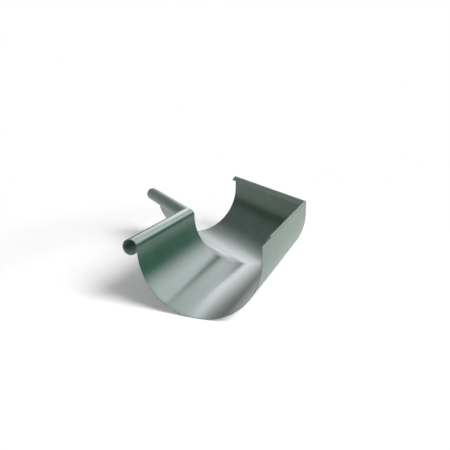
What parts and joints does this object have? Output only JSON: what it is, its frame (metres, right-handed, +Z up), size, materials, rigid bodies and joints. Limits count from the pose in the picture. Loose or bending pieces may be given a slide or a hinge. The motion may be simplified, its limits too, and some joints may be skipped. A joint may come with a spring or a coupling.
{
  "type": "internal gutter corner",
  "caption": "Half-round gutter corner for an obtuse inside angle: one folded sheet, with a curled bead along the inner side and a folded lip on the back wall.",
  "frame": {"origin": "middle of the footprint, on the plane that the part stands on", "axes": "+Z up; the mitre between the two arms lies in the plane Y = 0; +X towards the outer side of the corner, where the back walls meet; the first arm is on the -Y side"},
  "size_m": [0.2053, 0.357, 0.0806],
  "materials": {
    "coated_steel": "glossy coil coating"
  },
  "bodies": {
    "root": {"gutter_corner": "coated_steel"}
  },
  "joints": []
}
